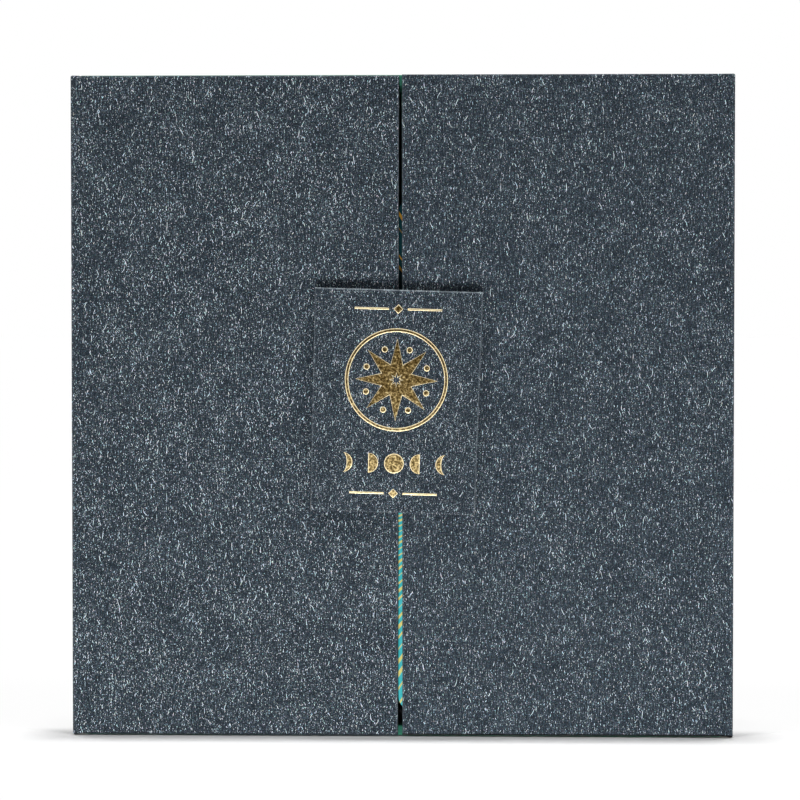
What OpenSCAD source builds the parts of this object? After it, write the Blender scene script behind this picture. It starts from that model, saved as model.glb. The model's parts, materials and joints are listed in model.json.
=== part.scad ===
// Boxed tarot deck: a square double-door presentation box of paper-wrapped board, with a magnetic tab
// across the doors, and a deck of cards and a guidebook in two wells inside.
// X is across the doors, Y runs from the front to the back, Z is up. The box stands on Z = 0.

/* [Board and paper] */
// Thickness of the grey board in every panel and wall
board_t = 2; // [1.5:0.1:3]
// Thickness of the covering and lining papers
paper_t = 0.2; // [0.15:0.01:0.3]
// Gap where two flaps of the tray's paper meet at a corner
flap_gap = 0.05; // [0.02:0.01:0.1]

/* [Cards] */
// Width of a card
card_w = 70; // [60:1:90]
// Height of a card
card_h = 120; // [100:1:145]
// Thickness of a card
card_t = 0.35; // [0.28:0.01:0.45]
// Radius of a card's corners
card_r = 3; // [2:0.5:6]
// Air between two cards in the stack
card_air = 0.01; // [0.005:0.005:0.03]
// Most that a card lies out of square with the stack
card_jog = 0.12; // [0:0.02:0.2]
// Number of trump cards
trump_count = 22; // [16:1:22]
// Number of cards in each of the four suits
suit_count = 14; // [10:1:14]

/* [Guidebook] */
// Width of the guidebook
book_w = 68; // [58:1:88]
// Height of the guidebook
book_h = 118; // [98:1:120]
// Thickness of its cover card
cover_t = 0.4; // [0.3:0.05:0.6]
// Number of folded page sections
section_count = 8; // [4:1:10]
// Thickness of one page section
section_t = 1; // [0.6:0.1:1.2]
// Air between two page sections
page_air = 0.02; // [0.01:0.01:0.05]
// How far the cover stands past the pages
page_inset = 0.5; // [0.2:0.1:1.5]

/* [Wells] */
// Width that the deck's well has to spare beside a card
deck_play = 4.1; // [2:0.1:8]
// Width that the guidebook's well has to spare
book_play = 1.3; // [0.6:0.1:6]
// Gap between the deck and the divider that it lies against
deck_clear = 0.3; // [0.25:0.05:0.6]
// Thickness of the foam pads that the deck and the guidebook stand on
pad_t = 3.4; // [2:0.1:6]
// Finger room above the deck
head_room = 26.8; // [18:0.1:40]
// Room between the top card and the rim of the tray
front_room = 1.2; // [0.6:0.1:4]
// How far the divider and the pads lie below the rim
divider_drop = 4; // [2:0.5:10]

/* [Doors] */
// Gap between the two doors
door_gap = 1.1; // [0.6:0.1:3]
// How far that gap lies to the right of the middle
gap_shift = -0.4; // [-3:0.1:3]
// How far each door stops short of the box's top and bottom
door_end = 0.2; // [0.2:0.1:1.5]
// Gap between a closed door and the tray's rim
close_gap = 0.3; // [0.2:0.05:1]
// Width of the cover paper that is turned in round a door's inside
turn_in = 4; // [2:0.5:15]
// Radius of the paper fold that each door turns on
fold_r = 0.3; // [0.25:0.05:0.4]
// Gap at the mitre between a door and its spine
mitre_gap = 0.1; // [0.05:0.05:0.3]

/* [Closure tab] */
// Width of the tab
tab_w = 38.8; // [34:0.1:60]
// Height of the tab
tab_h = 52; // [40:0.5:90]
// How far the tab's middle lies to the right of the doors' gap
tab_shift = -0.9; // [-3:0.1:3]
// How far the tab's middle lies above the box's middle
tab_rise = 1.3; // [-20:0.1:20]
// Turn of the tab, clockwise from the front
tab_skew = 1.7; // [-3:0.1:3]
// Thickness of the tape that fixes the tab to the left door
tape_t = 0.3; // [0.25:0.05:0.6]
// Width of the tape
tape_w = 14; // [8:0.5:14]
// Margin between the tape and the tab's edges
tape_inset = 2; // [1:0.5:4]
// Diameter of a closing magnet
magnet_d = 10; // [6:0.5:11]
// Thickness of a closing magnet
magnet_t = 1; // [0.8:0.1:1.2]
// Clearance round a magnet in its pocket
magnet_clear = 0.1; // [0.05:0.05:0.2]
// Distance between the two magnets of a pair
magnet_pitch = 26; // [14:1:30]
// Distance from the tab's right edge to the magnets' middle
magnet_inset = 9.5; // [8:0.5:11]

/* [Foil ornament] */
// Thickness of the gold foil on the tab
foil_t = 0.05; // [0.02:0.01:0.1]
// Outer radius of the medallion's ring
medal_r = 12; // [10:0.5:13]
// Width of the medallion's ring
ring_w = 0.8; // [0.4:0.1:1.5]
// How far the medallion's middle lies above the tab's middle
medal_rise = 5; // [2:0.5:6]
// Radius of the star's points
star_r = 9.6; // [7:0.2:10]
// Radius of the star's waist between its points
star_waist = 3.8; // [3:0.1:4.5]
// Radius of a dot between two points
dot_r = 0.7; // [0.4:0.1:0.9]
// Radius of the circle that the dots lie on
dot_ring_r = 7.6; // [6.5:0.1:8]
// Radius of a moon
moon_r = 2.3; // [1.5:0.1:2.6]
// Distance between two moons
moon_pitch = 6; // [5.5:0.1:7]
// How far the moons lie below the tab's middle
moon_drop = 14.5; // [13:0.5:16]
// Length of each thin rule
rule_w = 8; // [4:0.5:11]
// Thickness of a thin rule
rule_t = 0.45; // [0.3:0.05:0.8]
// Half width of the diamond between two rules
diamond_r = 1.1; // [0.6:0.1:1.6]
// Distance between the rules and the tab's middle
rule_set = 21.5; // [20:0.5:23]

/* [Hidden] */
$fn = 48;
cut = 1; // how far a cutting shape runs past what it cuts

// Thicknesses of the built-up panels
panel_t = board_t + 2 * paper_t;
spine_t = board_t + paper_t;

// The deck, the guidebook and what lies under it
suit_names = ["wands", "cups", "swords", "pentacles"];
deck_count = trump_count + len(suit_names) * suit_count;
card_pitch = card_t + card_air;
deck_t = deck_count * card_pitch;
book_t = section_count * section_t + 2 * cover_t;
riser_t = deck_t - book_t;

// The inside of the tray, and the box round it
deck_well_w = card_w + deck_play;
book_well_w = book_w + book_play;
inner_w = book_well_w + panel_t + deck_well_w;
inner_h = pad_t + card_h + head_room;
inner_d = deck_t + front_room;
tray_w = inner_w + 2 * panel_t;
box_w = tray_w + 2 * spine_t;
box_h = inner_h + 2 * panel_t;

// Planes from the front of the tab to the back of the box
tab_t = panel_t;
box_d = foil_t + tab_t + tape_t + panel_t + close_gap + inner_d + board_t + paper_t + spine_t;
door_y = foil_t + tab_t + tape_t - box_d / 2;
rim_y = door_y + panel_t + close_gap;
floor_y = rim_y + inner_d;
tray_back_y = floor_y + paper_t + board_t;
back_y = box_d / 2;

// The divider, and where the deck and the guidebook stand
divider_x = inner_w / 2 - deck_well_w - panel_t;
divider_y = rim_y + divider_drop;
deck_x = divider_x + panel_t + deck_clear;
book_x = -inner_w / 2 + book_play / 2;
stand_z = panel_t + pad_t;

// The doors
door_h = box_h - 2 * door_end;
left_door_w = box_w / 2 + gap_shift - door_gap / 2;
right_door_w = box_w / 2 - gap_shift - door_gap / 2;
fold_set = 2 * fold_r + mitre_gap; // where the flat paper starts beside the fold

// Shared shapes

// A box from its lowest to its highest corner
module block(low, high) {
    translate(low) cube(high - low);
}

// Outline of a card, from its lower left corner
module rounded_rect(w, h, r) {
    translate([r, 0]) square([w - 2 * r, h]);
    translate([0, r]) square([w, h - 2 * r]);
    for (x = [r, w - r], y = [r, h - r]) translate([x, y]) circle(r);
}

// Stands an XY outline up along Z between two heights
module rise(z0, z1) {
    translate([0, 0, z0]) linear_extrude(z1 - z0) children();
}

// Case: the back and the two spines, which fold out of one wrapped sheet

// The case's section, between two depths from its outer face, with its front ends mitred for the doors
module case_section(d0, d1) {
    x0 = box_w / 2 - d0;
    x1 = box_w / 2 - d1;
    front = [door_y + max(d0 + mitre_gap, fold_set), door_y + max(d1 + mitre_gap, fold_set)];
    polygon([
        [-x0, front[0]], [-x0, back_y - d0], [x0, back_y - d0], [x0, front[0]],
        [x1, front[1]], [x1, back_y - d1], [-x1, back_y - d1], [-x1, front[1]]
    ]);
}

module case_wrap() {
    color("darkslategray") {
        rise(0, box_h) case_section(0, paper_t);
        rise(0, paper_t) case_section(paper_t, spine_t);
        rise(box_h - paper_t, box_h) case_section(paper_t, spine_t);
    }
}

module back_board() {
    wide = box_w / 2 - paper_t;
    narrow = box_w / 2 - spine_t;
    rear = back_y - paper_t;
    color("gray") rise(paper_t, box_h - paper_t)
        polygon([[-wide, rear], [wide, rear], [narrow, tray_back_y], [-narrow, tray_back_y]]);
}

// A spine's board on the left side, mitred at the door and at the back
module spine_board() {
    outer = -box_w / 2 + paper_t;
    inner = -box_w / 2 + spine_t;
    color("gray") rise(paper_t, box_h - paper_t)
        polygon([
            [outer, door_y + max(paper_t + mitre_gap, fold_set)], [outer, back_y - paper_t],
            [inner, tray_back_y], [inner, door_y + spine_t + mitre_gap]
        ]);
}

module left_spine_board() {
    spine_board();
}

module right_spine_board() {
    mirror([1, 0, 0]) spine_board();
}

// The folded paper at the left front edge, which is the left door's hinge
module hinge_fold() {
    color("darkslategray") translate([-box_w / 2 + fold_r, door_y + fold_r, 0]) cylinder(r = fold_r, h = box_h);
}

module left_hinge_fold() {
    hinge_fold();
}

module right_hinge_fold() {
    mirror([1, 0, 0]) hinge_fold();
}

// Doors, each drawn from its hinge edge along X, with its outer face on Y = 0 and its foot on Z = 0

module at_left_door() {
    translate([-box_w / 2, door_y, door_end]) children();
}

module at_right_door() {
    translate([box_w / 2, door_y, door_end]) mirror([1, 0, 0]) children();
}

// The door's section between two depths, up to x1 along the door, mitred on its hinge edge
module door_section(d0, d1, x1) {
    polygon([[max(d0 + mitre_gap, fold_set), d0], [x1, d0], [x1, d1], [max(d1 + mitre_gap, fold_set), d1]]);
}

module door_board(w) {
    rise(paper_t, door_h - paper_t) door_section(paper_t, spine_t, w - paper_t);
}

// The cover paper over a door's face and edges, turned in round its inside
module door_wrap(w) {
    rise(0, door_h) door_section(0, paper_t, w);
    rise(paper_t, door_h - paper_t) translate([w - paper_t, paper_t]) square([paper_t, board_t]);
    for (z = [0, door_h - paper_t]) rise(z, z + paper_t) door_section(paper_t, spine_t, w);
    difference() {
        rise(0, door_h) door_section(spine_t, panel_t, w);
        block([-cut, spine_t - cut, turn_in], [w - turn_in, panel_t + cut, door_h - turn_in]);
    }
}

module door_lining(w) {
    rise(turn_in, door_h - turn_in) door_section(spine_t, panel_t, w - turn_in);
}

module left_door_board() {
    color("gray") at_left_door() door_board(left_door_w);
}

module left_door_wrap() {
    color("darkslategray") at_left_door() door_wrap(left_door_w);
}

module left_door_lining() {
    color("teal") at_left_door() door_lining(left_door_w);
}

module right_door_board() {
    color("gray") difference() {
        at_right_door() door_board(right_door_w);
        at_magnets() translate([0, paper_t, 0]) rotate([90, 0, 0]) magnet_pocket();
    }
}

module right_door_wrap() {
    color("darkslategray") at_right_door() door_wrap(right_door_w);
}

module right_door_lining() {
    color("teal") at_right_door() door_lining(right_door_w);
}

module right_door_magnets() {
    color("silver") at_magnets() translate([0, paper_t + magnet_t, 0]) rotate([90, 0, 0]) magnet();
}

// Closure tab, drawn about its middle, with Y = 0 on the doors' faces

module at_tab() {
    translate([gap_shift + tab_shift, door_y, box_h / 2 + tab_rise]) rotate([0, tab_skew, 0]) children();
}

module at_magnets() {
    at_tab() for (side = [-1, 1]) translate([tab_w / 2 - magnet_inset, 0, side * magnet_pitch / 2]) children();
}

module magnet() {
    cylinder(d = magnet_d, h = magnet_t);
}

// A pocket that opens on Z = 0 and runs down from it
module magnet_pocket() {
    depth = magnet_t + magnet_clear;
    translate([0, 0, -depth]) cylinder(d = magnet_d + 2 * magnet_clear, h = depth + paper_t);
}

// A plate of the tab between two distances in front of the doors, inset from the tab's edges
module tab_plate(near, far, inset) {
    block([-tab_w / 2 + inset, -far, -tab_h / 2 + inset], [tab_w / 2 - inset, -near, tab_h / 2 - inset]);
}

module tab_board() {
    color("gray") difference() {
        at_tab() tab_plate(tape_t + paper_t, tape_t + spine_t, paper_t);
        at_magnets() translate([0, -tape_t - paper_t, 0]) rotate([-90, 0, 0]) magnet_pocket();
    }
}

module tab_wrap() {
    color("darkslategray") at_tab() difference() {
        tab_plate(tape_t, tape_t + tab_t, 0);
        tab_plate(tape_t - cut, tape_t + spine_t, paper_t);
    }
}

// A star of eight points round the origin
module star() {
    points = 8;
    polygon([
        for (i = [0 : 2 * points - 1])
            let (r = i % 2 == 0 ? star_r : star_waist) [r * sin(i * 180 / points), r * cos(i * 180 / points)]
    ]);
}

// Ring, star and dots
module medallion() {
    dots = 8;
    difference() {
        circle(medal_r);
        circle(medal_r - ring_w);
    }
    star();
    for (i = [0 : dots - 1]) rotate((i + 0.5) * 360 / dots) translate([0, dot_ring_r]) circle(dot_r);
}

// The moon's phases from the new crescent to the old one
module moon_row() {
    circle(moon_r);
    for (side = [0, 1]) mirror([side, 0]) {
        translate([moon_pitch, 0]) difference() {
            circle(moon_r);
            translate([0, -2 * moon_r]) square([2 * moon_r, 4 * moon_r]);
        }
        translate([2 * moon_pitch, 0]) difference() {
            circle(moon_r);
            translate([moon_r / 2, 0]) circle(moon_r);
        }
    }
}

// Two rules with a diamond between them
module rule_pair() {
    polygon([[-diamond_r, 0], [0, -diamond_r], [diamond_r, 0], [0, diamond_r]]);
    for (side = [0, 1]) mirror([side, 0]) translate([2 * diamond_r, -rule_t / 2]) square([rule_w, rule_t]);
}

module tab_foil() {
    color("gold") at_tab() translate([0, -tape_t - tab_t, 0]) rotate([90, 0, 0]) linear_extrude(foil_t) {
        translate([0, medal_rise]) medallion();
        translate([0, -moon_drop]) moon_row();
        for (z = [-rule_set, rule_set]) translate([0, z]) rule_pair();
    }
}

module tab_backing() {
    color("dimgray") at_tab() tab_plate(tape_t, tape_t + paper_t, paper_t);
}

module tab_tape() {
    left = -tab_w / 2 + tape_inset;
    top = tab_h / 2 - tape_inset;
    color("ivory") at_tab() block([left, -tape_t, -top], [left + tape_w, 0, top]);
}

module tab_magnets() {
    color("silver") at_magnets() translate([0, -tape_t - paper_t, 0]) rotate([90, 0, 0]) magnet();
}

// Tray: a floor inside four walls, wrapped over the rim

module tray_floor_board() {
    x = inner_w / 2 + paper_t;
    color("gray") block([-x, floor_y + paper_t, spine_t], [x, tray_back_y, box_h - spine_t]);
}

module tray_bottom_wall() {
    x = tray_w / 2 - paper_t;
    color("gray") block([-x, rim_y + paper_t, paper_t], [x, tray_back_y, spine_t]);
}

module tray_top_wall() {
    translate([0, 0, box_h]) mirror([0, 0, 1]) tray_bottom_wall();
}

module tray_left_wall() {
    x = -tray_w / 2 + paper_t;
    color("gray") block([x, rim_y + paper_t, spine_t], [x + board_t, tray_back_y, box_h - spine_t]);
}

module tray_right_wall() {
    mirror([1, 0, 0]) tray_left_wall();
}

// One flap of the tray's paper, down the outside of a wall of that length, over its rim and down its inside.
// It is drawn on the wall's foot with the wall along X, and its ends are mitred where two flaps meet.
module tray_flap(length) {
    ends = length / 2;
    low = ends - flap_gap;
    high = low - panel_t;
    difference() {
        translate([0, tray_back_y, 0]) rotate([90, 0, 0]) linear_extrude(tray_back_y - rim_y)
            polygon([[-low, 0], [low, 0], [high, panel_t], [-high, panel_t]]);
        block([-ends + paper_t, rim_y + paper_t, paper_t], [ends - paper_t, tray_back_y + cut, spine_t]);
        block([-ends, floor_y + paper_t, spine_t], [ends, tray_back_y + cut, panel_t + cut]);
    }
}

module tray_wrap() {
    color("teal") {
        tray_flap(tray_w);
        translate([0, 0, box_h]) rotate([0, 180, 0]) tray_flap(tray_w);
        translate([-tray_w / 2, 0, box_h / 2]) rotate([0, 90, 0]) tray_flap(box_h);
        translate([tray_w / 2, 0, box_h / 2]) rotate([0, -90, 0]) tray_flap(box_h);
    }
}

module tray_lining() {
    color("teal") block([-inner_w / 2, floor_y, panel_t], [inner_w / 2, floor_y + paper_t, box_h - panel_t]);
}

module divider_board() {
    color("gray") block(
        [divider_x + paper_t, divider_y + paper_t, panel_t],
        [divider_x + spine_t, floor_y, box_h - panel_t]
    );
}

module divider_wrap() {
    color("teal") difference() {
        block([divider_x, divider_y, panel_t], [divider_x + panel_t, floor_y, box_h - panel_t]);
        block([divider_x + paper_t, divider_y + paper_t, 0], [divider_x + spine_t, floor_y + cut, box_h]);
    }
}

module deck_pad() {
    color("dimgray") block([divider_x + panel_t, divider_y, panel_t], [inner_w / 2, floor_y, stand_z]);
}

module book_pad() {
    color("dimgray") block([-inner_w / 2, divider_y, panel_t], [divider_x, floor_y, stand_z]);
}

// Foam under the guidebook, which brings it level with the deck
module book_riser() {
    color("dimgray") block([book_x, floor_y - riser_t, stand_z], [book_x + book_w, floor_y, stand_z + book_h]);
}

// Guidebook, bound on its left edge

module guidebook_cover() {
    front = floor_y - deck_t;
    color("teal") difference() {
        block([book_x, front, stand_z], [book_x + book_w, front + book_t, stand_z + book_h]);
        block([book_x + cover_t, front + cover_t, 0], [book_x + book_w + cut, front + book_t - cover_t, box_h]);
    }
}

// The page sections, each with a round folded edge at the spine
module guidebook_pages() {
    thick = section_t - page_air;
    fold = thick / 2;
    color("ivory") for (i = [0 : section_count - 1])
        translate([book_x + cover_t, floor_y - deck_t + cover_t + page_air / 2 + i * section_t, 0])
            rise(stand_z + page_inset, stand_z + book_h - page_inset) {
                translate([fold, 0]) square([book_w - cover_t - page_inset - fold, thick]);
                translate([fold, fold]) circle(fold);
            }
}

// Deck: the cards stand in one stack, the trumps in front, each a little out of square

// Card number i of the deck, counted from the back of the tray
module card(i) {
    across = card_jog * sin(i * 137.5);
    up = card_jog * (1 + cos(i * 97.3));
    translate([deck_x + across, floor_y - i * card_pitch, stand_z + up])
        rotate([90, 0, 0]) linear_extrude(card_t) rounded_rect(card_w, card_h, card_r);
}

module suit_cards(name) {
    start = search([name], suit_names)[0] * suit_count;
    color("ivory") for (i = [start : start + suit_count - 1]) card(i);
}

module trump_cards() {
    start = len(suit_names) * suit_count;
    color("teal") for (i = [start : deck_count - 1]) card(i);
}

case_wrap();
back_board();
left_spine_board();
right_spine_board();
left_hinge_fold();
right_hinge_fold();
left_door_board();
left_door_wrap();
left_door_lining();
right_door_board();
right_door_wrap();
right_door_lining();
right_door_magnets();
tab_board();
tab_wrap();
tab_foil();
tab_backing();
tab_tape();
tab_magnets();
tray_floor_board();
tray_top_wall();
tray_bottom_wall();
tray_left_wall();
tray_right_wall();
tray_wrap();
tray_lining();
divider_board();
divider_wrap();
deck_pad();
book_pad();
book_riser();
guidebook_cover();
guidebook_pages();
trump_cards();
suit_cards("wands");  // wands_cards
suit_cards("cups");  // cups_cards
suit_cards("swords");  // swords_cards
suit_cards("pentacles");  // pentacles_cards
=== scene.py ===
import json
import math

import bmesh
import bpy
import numpy as np
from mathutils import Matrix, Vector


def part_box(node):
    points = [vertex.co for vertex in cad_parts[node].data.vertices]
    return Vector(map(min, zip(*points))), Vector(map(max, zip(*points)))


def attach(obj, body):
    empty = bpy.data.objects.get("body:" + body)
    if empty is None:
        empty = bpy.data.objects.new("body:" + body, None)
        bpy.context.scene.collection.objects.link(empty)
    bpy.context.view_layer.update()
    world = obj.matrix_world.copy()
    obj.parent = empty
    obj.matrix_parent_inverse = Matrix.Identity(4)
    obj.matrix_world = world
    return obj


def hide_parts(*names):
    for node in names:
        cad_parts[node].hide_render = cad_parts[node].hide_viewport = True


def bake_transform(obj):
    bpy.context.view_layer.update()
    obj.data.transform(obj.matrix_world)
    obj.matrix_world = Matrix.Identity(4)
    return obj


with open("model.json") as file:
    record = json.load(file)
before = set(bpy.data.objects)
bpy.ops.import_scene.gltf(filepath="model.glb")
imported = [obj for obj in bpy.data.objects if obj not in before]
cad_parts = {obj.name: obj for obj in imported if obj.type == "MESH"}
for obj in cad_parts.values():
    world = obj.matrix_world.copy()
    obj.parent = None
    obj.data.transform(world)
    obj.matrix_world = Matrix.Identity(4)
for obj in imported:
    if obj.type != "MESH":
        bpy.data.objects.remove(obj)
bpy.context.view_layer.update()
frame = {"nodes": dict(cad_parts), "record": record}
nodes = frame["nodes"]
scene = bpy.context.scene
scene.view_settings.view_transform = "Standard"
mm = 0.001
print("frame loaded:", len(nodes), "nodes")


def boxOf(node):  # a node's lowest and highest corners in millimetres
    low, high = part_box(node)
    return np.array(low) / mm, np.array(high) / mm


# planes of the closed box, in millimetres
signs = {"left": -1, "right": 1}
doorBoxes = {side: boxOf(side + "_door_wrap") for side in signs}
trayLow, trayHigh = boxOf("tray_wrap")
tabLow, tabHigh = boxOf("tab_wrap")
halfBox, backY, boxTop = boxOf("case_wrap")[1]
doorY = doorBoxes["left"][0][1]
doorThick = doorBoxes["left"][1][1] - doorY
spineThick = halfBox - trayHigh[0]
rimY, trayBackY = trayLow[1], trayHigh[1]
floorY = boxOf("tray_lining")[0][1]
tabMiddle = (tabLow + tabHigh) / 2
print("planes read: doors at", round(float(doorY), 2), "rim at", round(float(rimY), 2))

# camera
cameraView = {"place": (0.02421, -0.75, 0.10512), "pitch": 2.037, "turn": 1.922, "lens": 141.3, "sensor": 36}
camera = bpy.data.objects.new("camera", bpy.data.cameras.new("camera"))
camera.data.sensor_width = cameraView["sensor"]
camera.data.lens = cameraView["lens"]
camera.location = cameraView["place"]
camera.rotation_euler = (math.radians(90 - cameraView["pitch"]), 0, math.radians(cameraView["turn"]))
scene.collection.objects.link(camera)
scene.camera = camera


# node tree helpers
def addNode(tree, kind, inputs=(), **settings):
    made = tree.nodes.new(kind)
    for key, value in settings.items():
        setattr(made, key, value)
    for key, value in dict(inputs).items():
        if isinstance(value, bpy.types.NodeSocket):
            tree.links.new(value, made.inputs[key])
        else:
            made.inputs[key].default_value = value
    return made


def calc(tree, operation, first, second=0.0, third=0.0, clamp=False):
    inputs = {0: first, 1: second, 2: third}
    return addNode(tree, "ShaderNodeMath", inputs, operation=operation, use_clamp=clamp).outputs[0]


def squareOf(tree, value):
    return calc(tree, "MULTIPLY", value, value)


def vectorCalc(tree, operation, first, second, third=(0, 0, 0)):
    inputs = {0: first, 1: second, 2: third}
    return addNode(tree, "ShaderNodeVectorMath", inputs, operation=operation).outputs[0]


def splitXyz(tree, vector):
    return addNode(tree, "ShaderNodeSeparateXYZ", {0: vector}).outputs


def coordinate(tree, kind):
    return addNode(tree, "ShaderNodeTexCoord").outputs[kind]


def opaque(colour):
    return (*colour, 1)


def mixColour(tree, factor, first, second, blend="MIX"):
    inputs = {0: factor, 6: first, 7: second}
    return addNode(tree, "ShaderNodeMix", inputs, data_type="RGBA", blend_type=blend).outputs[2]


def remap(tree, value, low, high, toLow=0.0, toHigh=1.0, kind="SMOOTHSTEP"):
    inputs = {0: value, 1: low, 2: high, 3: toLow, 4: toHigh}
    return addNode(tree, "ShaderNodeMapRange", inputs, interpolation_type=kind).outputs[0]


def ramp(tree, value, stops):
    made = addNode(tree, "ShaderNodeValToRGB", {0: value})
    while len(made.color_ramp.elements) < len(stops):
        made.color_ramp.elements.new(0.5)
    for element, (place, colour) in zip(made.color_ramp.elements, stops):
        element.position = place
        element.color = opaque(colour)
    return made.outputs[0]


def noise(tree, vector, scale, detail, rough, plane="3D"):
    inputs = {"Vector": vector, "Scale": scale, "Detail": detail, "Roughness": rough}
    return addNode(tree, "ShaderNodeTexNoise", inputs, noise_dimensions=plane).outputs[0]


def stretch(tree, vector, scale, shift=(0, 0, 0), turn=(0, 0, 0)):
    inputs = {"Vector": vector, "Scale": scale, "Location": shift, "Rotation": turn}
    return addNode(tree, "ShaderNodeMapping", inputs).outputs[0]


def ripple(tree, sheet, scale, detail, rough):  # noise about zero, drawn out along the sheet
    return calc(tree, "SUBTRACT", noise(tree, stretch(tree, sheet, scale), 1.0, detail, rough, "2D"), 0.5)


def newMaterial(name, **sockets):
    made = bpy.data.materials.new(name)
    made.use_nodes = True
    tree = made.node_tree
    shader = tree.nodes["Principled BSDF"]
    for key, value in sockets.items():
        shader.inputs[key.replace("_", " ")].default_value = value
    return made, tree, shader


def objectPlace(tree):  # Object coordinates in millimetres
    return vectorCalc(tree, "MULTIPLY", coordinate(tree, "Object"), (1 / mm, 1 / mm, 1 / mm))


def sheetPlace(tree):  # the piece's own sheet map, in millimetres
    return addNode(tree, "ShaderNodeUVMap", uv_map="sheet").outputs[0]


def foldPlace(tree):  # the piece's own fold mark
    return addNode(tree, "ShaderNodeAttribute", attribute_name="fold").outputs["Fac"]


def fromMiddle(tree, place, middle):  # offsets from a middle, their angle and their distance
    part = splitXyz(tree, place)
    across = calc(tree, "SUBTRACT", part[0], middle[0])
    up = calc(tree, "SUBTRACT", part[2], middle[1])
    away = calc(tree, "SQRT", calc(tree, "ADD", squareOf(tree, across), squareOf(tree, up)))
    return across, up, calc(tree, "ARCTAN2", up, across), away


def insetOf(tree, across, up, half):  # distance in from the nearest edge of an upright rectangle
    sides = calc(tree, "SUBTRACT", half[0], calc(tree, "ABSOLUTE", across))
    ends = calc(tree, "SUBTRACT", half[1], calc(tree, "ABSOLUTE", up))
    return calc(tree, "MINIMUM", sides, ends)


def colourFrom(tree, shader, colour):
    tree.links.new(colour, shader.inputs["Base Color"])


def bumpFrom(tree, shader, height, distance, strength):
    inputs = {"Height": height, "Distance": distance * mm, "Strength": strength}
    tree.links.new(addNode(tree, "ShaderNodeBump", inputs).outputs[0], shader.inputs["Normal"])


# cover paper: dark slate pulp with pale fibres
coverPaper = {
    "tone": [(0, (0.00694, 0.0104, 0.0141)), (0.2, (0.0121, 0.0174, 0.0246)),
             (0.35, (0.0204, 0.0289, 0.0399)), (0.5, (0.0359, 0.0501, 0.0667)),
             (0.75, (0.108, 0.138, 0.16)), (1, (0.788, 0.906, 0.965))],
    "layers": [  # cell, half width, half length, lean, strength, scarcity
        (0.36, 0.047, 0.20, 0.70, 0.50, 1.8), (0.50, 0.056, 0.19, 1.10, 0.85, 3.0),
        (0.80, 0.064, 0.30, 0.80, 1.30, 3.8), (1.25, 0.064, 0.48, 0.60, 1.70, 4.4),
        (2.20, 0.061, 1.20, 0.60, 1.80, 4.0),
    ],
    "layerShift": (37.1, 91.7), "bend": 0.4, "shortest": 0.2, "soft": (1.25, 0.2),
    "crowd": (0.25, 2.0, 0.5), "crowding": (0.3, 0.7, 0.62, 1.0),
    "grain": ((5.2, 2.9, 1), 1.0, 0.7), "cloud": ((0.16, 0.1, 1), 4.0, 0.65),
    "streak": ((3.4, 0.6, 1), 1.0, 0.5), "gain": {"cloud": 0.3, "streak": 0.85},
    "hue": (3.4, 1.9, 1), "hueGain": np.array((1.2, 0.3, 0.75)),
    "patches": (0.5, 3, 0.6), "patchy": (0.35, 0.65, 0.3, 1.0),
    # on the next line: the pale edge mark, worn and along the tab's top edge also a painted highlight, then
    # the nearly black painted shade for the lower edges of doors and hinges
    "wornAndLit": (0.34, 0.4, 0.44), "paintedFootShade": (0.002, 0.002, 0.003),
    "fibreRise": 0.6, "bump": (0.04, 0.4),
}
papers = {
    # wear: strength of the pale edge marks; on the tab they are also a painted highlight
    "left": {"shift": (0, 0), "scale": 1.0, "base": 0.324, "fibre": 1.25, "grain": 1.62, "wearAndHighlight": 0.12},
    "right": {"shift": (431, 57), "scale": 1.0, "base": 0.359, "fibre": 0.92, "grain": 1.42, "wearAndHighlight": 0.12},
    "tab": {"shift": (911, 233), "scale": 1.3, "base": 0.298, "fibre": 1.2, "grain": 1.65, "wearAndHighlight": 0.9},
    "case": {"shift": (0, 0), "scale": 1.0, "base": 0.324, "fibre": 1.25, "grain": 1.62, "wearAndHighlight": 0.12},
    "carried": {"shift": (173, 389), "scale": 1.0, "base": 0.31, "fibre": 1.4, "grain": 1.8, "wearAndHighlight": 0.0},
}


# one layer of fibres: in each cell of a random net, an ellipse with its own lean, bend, length and strength
def fibreLayer(tree, sheet, number, cell, halfWidth, halfLength, lean, strength, scarcity):
    shiftX, shiftY = coverPaper["layerShift"]
    moved = vectorCalc(tree, "ADD", sheet, (shiftX * number, shiftY * number, 0))
    net = addNode(tree, "ShaderNodeTexVoronoi", {"Vector": moved, "Scale": 1 / cell, "Randomness": 1.0},
                  voronoi_dimensions="2D", feature="F1").outputs
    chance = addNode(tree, "ShaderNodeSeparateColor", {0: net["Color"]}).outputs
    local = vectorCalc(tree, "SUBTRACT", moved, net["Position"])
    swing = calc(tree, "MULTIPLY_ADD", chance[0], 2 * lean, -lean)
    spin = addNode(tree, "ShaderNodeVectorRotate", {"Vector": local, "Angle": swing}, rotation_type="Z_AXIS")
    part = splitXyz(tree, spin.outputs[0])
    bend = calc(tree, "MULTIPLY_ADD", chance[1], 2 * coverPaper["bend"], -coverPaper["bend"])
    aside = calc(tree, "MULTIPLY_ADD", squareOf(tree, part[1]), bend, part[0])
    wide = calc(tree, "DIVIDE", aside, halfWidth)
    shortest = coverPaper["shortest"] * halfLength
    length = calc(tree, "MULTIPLY_ADD", chance[2], halfLength - shortest, shortest)
    tall = calc(tree, "DIVIDE", part[1], length)
    reach = calc(tree, "ADD", squareOf(tree, wide), squareOf(tree, tall))
    body = remap(tree, reach, *coverPaper["soft"])
    luck = addNode(tree, "ShaderNodeTexWhiteNoise", {"Vector": net["Color"]}, noise_dimensions="3D")
    pale = calc(tree, "MULTIPLY", calc(tree, "POWER", luck.outputs[0], scarcity), strength)
    return calc(tree, "MULTIPLY", body, pale)


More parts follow.
